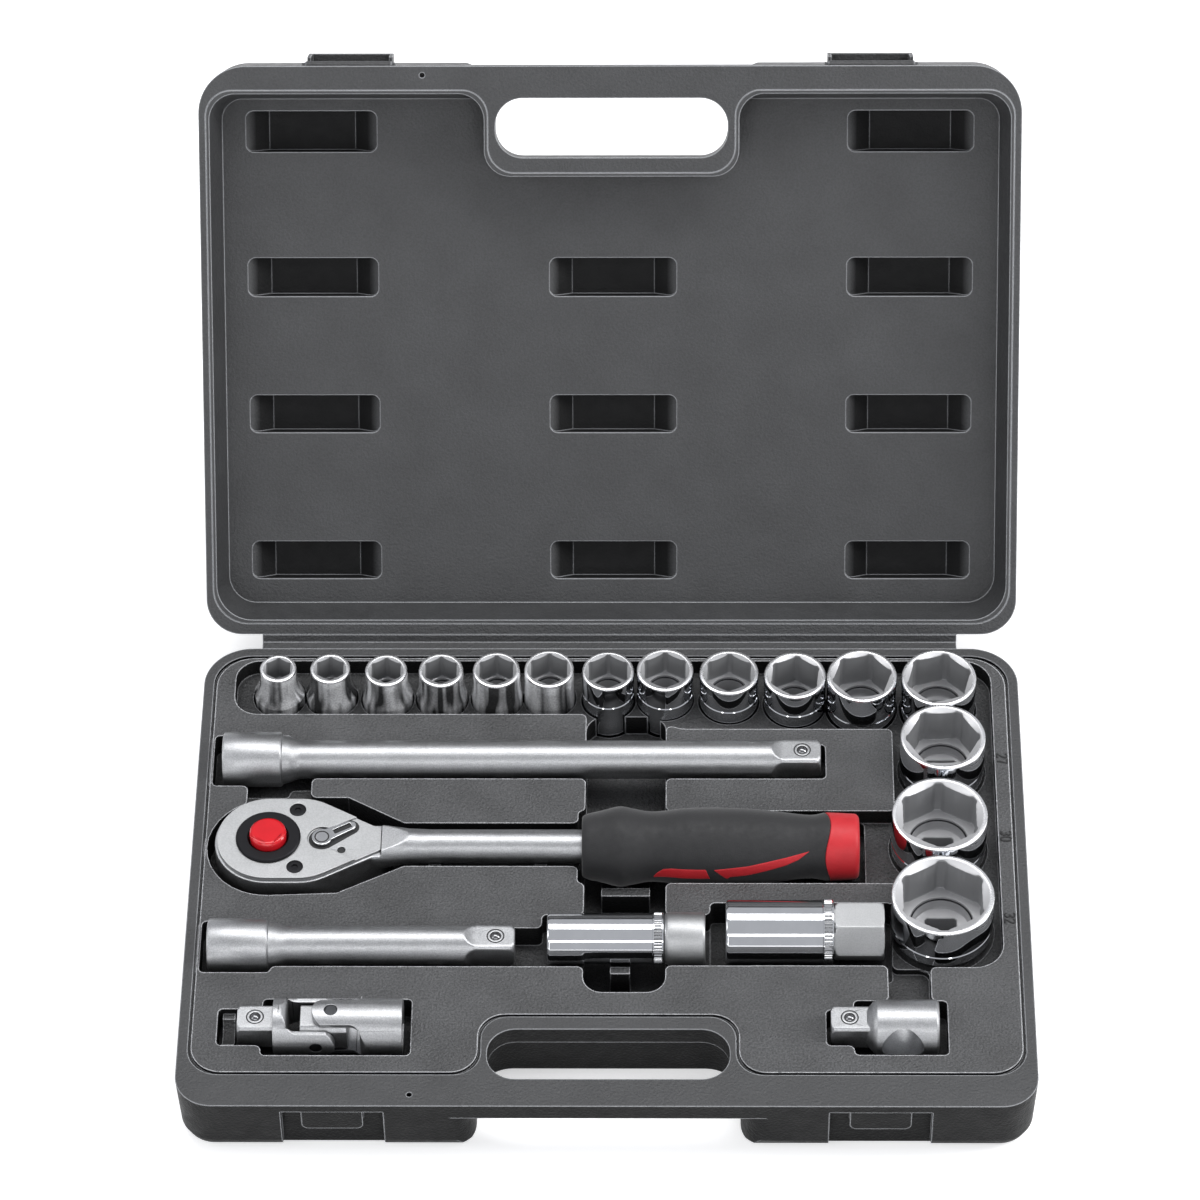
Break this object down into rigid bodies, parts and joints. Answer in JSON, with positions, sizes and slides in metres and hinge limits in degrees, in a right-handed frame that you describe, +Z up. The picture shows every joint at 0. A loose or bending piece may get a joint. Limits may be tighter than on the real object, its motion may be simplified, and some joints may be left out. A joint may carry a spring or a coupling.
{
  "type": "socket wrench set in case",
  "caption": "Hinged plastic case with a socket wrench set: a row of hexagon sockets, spark plug sockets, extension bars, a reversible ratchet, a universal joint and a cross-hole adaptor.",
  "frame": {"origin": "centre of the base's underside, on the surface it stands on", "axes": "+X to the right along the hinge, +Y from the handle (front) to the hinge (back), +Z up; the lid is open at rest"},
  "size_m": [0.345, 0.4165, 0.2288],
  "materials": {
    "case_plastic": "moulded with a fine grain",
    "polished_chrome": "polished",
    "satin_chrome": "satin plated",
    "dark_steel": "blackened",
    "black_rubber": "matte",
    "red_plastic": "glossy",
    "red_rubber": "matte",
    "spring_steel": "bright"
  },
  "bodies": {
    "case": {"base_shell": "case_plastic", "tool_tray": "case_plastic", "living_hinge": "case_plastic"},
    "lid": {"lid_shell": "case_plastic", "lid_panel": "case_plastic"},
    "latch_left": {"latch_left": "case_plastic"},
    "latch_right": {"latch_right": "case_plastic"},
    "socket_10": {"socket_10": "polished_chrome"},
    "socket_11": {"socket_11": "polished_chrome"},
    "socket_12": {"socket_12": "polished_chrome"},
    "socket_13": {"socket_13": "polished_chrome"},
    "socket_14": {"socket_14": "polished_chrome"},
    "socket_15": {"socket_15": "polished_chrome"},
    "socket_16": {"socket_16": "polished_chrome"},
    "socket_17": {"socket_17": "polished_chrome"},
    "socket_18": {"socket_18": "polished_chrome"},
    "socket_19": {"socket_19": "polished_chrome"},
    "socket_22": {"socket_22": "polished_chrome"},
    "socket_24": {"socket_24": "polished_chrome"},
    "socket_27": {"socket_27": "polished_chrome"},
    "socket_30": {"socket_30": "polished_chrome"},
    "socket_32": {"socket_32": "polished_chrome"},
    "plug_socket_16": {"plug_socket_16": "polished_chrome", "plug_insert_16": "black_rubber"},
    "plug_socket_21": {"plug_socket_21": "polished_chrome", "plug_insert_21": "black_rubber"},
    "long_extension": {"long_extension": "satin_chrome", "long_extension_spring": "spring_steel"},
    "long_extension_ball": {"long_extension_ball": "polished_chrome"},
    "short_extension": {"short_extension": "satin_chrome", "short_extension_spring": "spring_steel"},
    "short_extension_ball": {"short_extension_ball": "polished_chrome"},
    "ratchet": {"ratchet_body": "satin_chrome", "ratchet_cover": "satin_chrome", "cover_screws": "dark_steel", "ratchet_grip": "black_rubber", "grip_inlay": "red_rubber", "grip_cap": "red_rubber", "pawl_spring": "spring_steel"},
    "drive": {"drive_gear": "dark_steel", "retaining_ring": "dark_steel", "button_spring": "spring_steel"},
    "release_button": {"release_button": "red_plastic"},
    "anvil_ball": {"anvil_ball": "polished_chrome"},
    "reversing_lever": {"reversing_lever": "polished_chrome"},
    "pawl": {"pawl": "dark_steel"},
    "joint_male": {"joint_male_yoke": "satin_chrome", "joint_spring": "spring_steel"},
    "joint_ball": {"joint_ball": "polished_chrome"},
    "joint_cross": {"joint_block": "satin_chrome", "joint_pins": "dark_steel"},
    "joint_female": {"joint_female_yoke": "satin_chrome"},
    "adaptor": {"cross_adaptor": "satin_chrome", "adaptor_spring": "spring_steel"},
    "adaptor_ball": {"adaptor_ball": "polished_chrome"}
  },
  "joints": [
    {"name": "lid_hinge", "type": "hinge", "parent": "case", "child": "lid", "pos_m": [0, 0.12504, 0.03], "axis": [-1, 0, 0], "range_deg": [-126.2, 0], "deforming": ["living_hinge"]},
    {"name": "latch_left_pivot", "type": "hinge", "parent": "lid", "child": "latch_left", "pos_m": [-0.1095, 0.27477, 0.22544], "axis": [-1, 0, 0], "range_deg": [-180, 0]},
    {"name": "latch_right_pivot", "type": "hinge", "parent": "lid", "child": "latch_right", "pos_m": [0.1095, 0.27477, 0.22544], "axis": [-1, 0, 0], "range_deg": [-180, 0]},
    {"name": "socket_10_lift", "type": "slide", "parent": "case", "child": "socket_10", "axis": [0, 0, 1], "range_m": [0, 0.06]},
    {"name": "socket_11_lift", "type": "slide", "parent": "case", "child": "socket_11", "axis": [0, 0, 1], "range_m": [0, 0.06]},
    {"name": "socket_12_lift", "type": "slide", "parent": "case", "child": "socket_12", "axis": [0, 0, 1], "range_m": [0, 0.06]},
    {"name": "socket_13_lift", "type": "slide", "parent": "case", "child": "socket_13", "axis": [0, 0, 1], "range_m": [0, 0.06]},
    {"name": "socket_14_lift", "type": "slide", "parent": "case", "child": "socket_14", "axis": [0, 0, 1], "range_m": [0, 0.06]},
    {"name": "socket_15_lift", "type": "slide", "parent": "case", "child": "socket_15", "axis": [0, 0, 1], "range_m": [0, 0.06]},
    {"name": "socket_16_lift", "type": "slide", "parent": "case", "child": "socket_16", "axis": [0, 0, 1], "range_m": [0, 0.06]},
    {"name": "socket_17_lift", "type": "slide", "parent": "case", "child": "socket_17", "axis": [0, 0, 1], "range_m": [0, 0.06]},
    {"name": "socket_18_lift", "type": "slide", "parent": "case", "child": "socket_18", "axis": [0, 0, 1], "range_m": [0, 0.06]},
    {"name": "socket_19_lift", "type": "slide", "parent": "case", "child": "socket_19", "axis": [0, 0, 1], "range_m": [0, 0.06]},
    {"name": "socket_22_lift", "type": "slide", "parent": "case", "child": "socket_22", "axis": [0, 0, 1], "range_m": [0, 0.06]},
    {"name": "socket_24_lift", "type": "slide", "parent": "case", "child": "socket_24", "axis": [0, 0, 1], "range_m": [0, 0.06]},
    {"name": "socket_27_lift", "type": "slide", "parent": "case", "child": "socket_27", "axis": [0, 0, 1], "range_m": [0, 0.06]},
    {"name": "socket_30_lift", "type": "slide", "parent": "case", "child": "socket_30", "axis": [0, 0, 1], "range_m": [0, 0.06]},
    {"name": "socket_32_lift", "type": "slide", "parent": "case", "child": "socket_32", "axis": [0, 0, 1], "range_m": [0, 0.06]},
    {"name": "plug_socket_16_lift", "type": "slide", "parent": "case", "child": "plug_socket_16", "axis": [0, 0, 1], "range_m": [0, 0.06]},
    {"name": "plug_socket_21_lift", "type": "slide", "parent": "case", "child": "plug_socket_21", "axis": [0, 0, 1], "range_m": [0, 0.06]},
    {"name": "long_extension_lift", "type": "slide", "parent": "case", "child": "long_extension", "axis": [0, 0, 1], "range_m": [0, 0.06]},
    {"name": "long_extension_ball_press", "type": "slide", "parent": "long_extension", "child": "long_extension_ball", "axis": [0, 0, -1], "range_m": [0, 0.001], "stiffness_N_per_m": 200, "deforming": ["long_extension_spring"]},
    {"name": "short_extension_lift", "type": "slide", "parent": "case", "child": "short_extension", "axis": [0, 0, 1], "range_m": [0, 0.06]},
    {"name": "short_extension_ball_press", "type": "slide", "parent": "short_extension", "child": "short_extension_ball", "axis": [0, 0, -1], "range_m": [0, 0.001], "stiffness_N_per_m": 200, "deforming": ["short_extension_spring"]},
    {"name": "ratchet_lift", "type": "slide", "parent": "case", "child": "ratchet", "axis": [0, 0, 1], "range_m": [0, 0.06]},
    {"name": "drive_spin", "type": "hinge", "parent": "ratchet", "child": "drive", "pos_m": [-0.1406, 0.0119, 0.0305], "axis": [0, 0, 1], "continuous": true},
    {"name": "release_press", "type": "slide", "parent": "drive", "child": "release_button", "axis": [0, 0, -1], "range_m": [0, 0.0025], "stiffness_N_per_m": 300, "deforming": ["button_spring"]},
    {"name": "anvil_ball_slide", "type": "slide", "parent": "drive", "child": "anvil_ball", "axis": [0, 1, 0], "range_m": [0, 0.001]},
    {"name": "lever_turn", "type": "hinge", "parent": "ratchet", "child": "reversing_lever", "pos_m": [-0.1184, 0.0119, 0.0305], "axis": [0, 0, 1], "range_deg": [-57.6, 0]},
    {"name": "pawl_rock", "type": "hinge", "parent": "ratchet", "child": "pawl", "pos_m": [-0.1184, 0.0119, 0.0305], "axis": [0, 0, 1], "range_deg": [-4.61, 0]},
    {"name": "joint_lift", "type": "slide", "parent": "case", "child": "joint_male", "axis": [0, 0, 1], "range_m": [0, 0.06]},
    {"name": "joint_ball_press", "type": "slide", "parent": "joint_male", "child": "joint_ball", "axis": [0, 0, -1], "range_m": [0, 0.001], "stiffness_N_per_m": 200, "deforming": ["joint_spring"]},
    {"name": "cross_swing", "type": "hinge", "parent": "joint_male", "child": "joint_cross", "pos_m": [-0.1167, -0.082, 0.0305], "axis": [0, -1, 0], "range_deg": [0, 40]},
    {"name": "female_swing", "type": "hinge", "parent": "joint_cross", "child": "joint_female", "pos_m": [-0.1107, -0.082, 0.0305], "axis": [0, 0, 1], "range_deg": [-5, 5]},
    {"name": "adaptor_lift", "type": "slide", "parent": "case", "child": "adaptor", "axis": [0, 0, 1], "range_m": [0, 0.06]},
    {"name": "adaptor_ball_press", "type": "slide", "parent": "adaptor", "child": "adaptor_ball", "axis": [0, 0, -1], "range_m": [0, 0.001], "stiffness_N_per_m": 200, "deforming": ["adaptor_spring"]}
  ],
  "couplings": [
    {"joint": "anvil_ball_slide", "follows": "release_press", "ratio": 0.4},
    {"joint": "pawl_rock", "follows": "lever_turn", "ratio": 0.08}
  ]
}
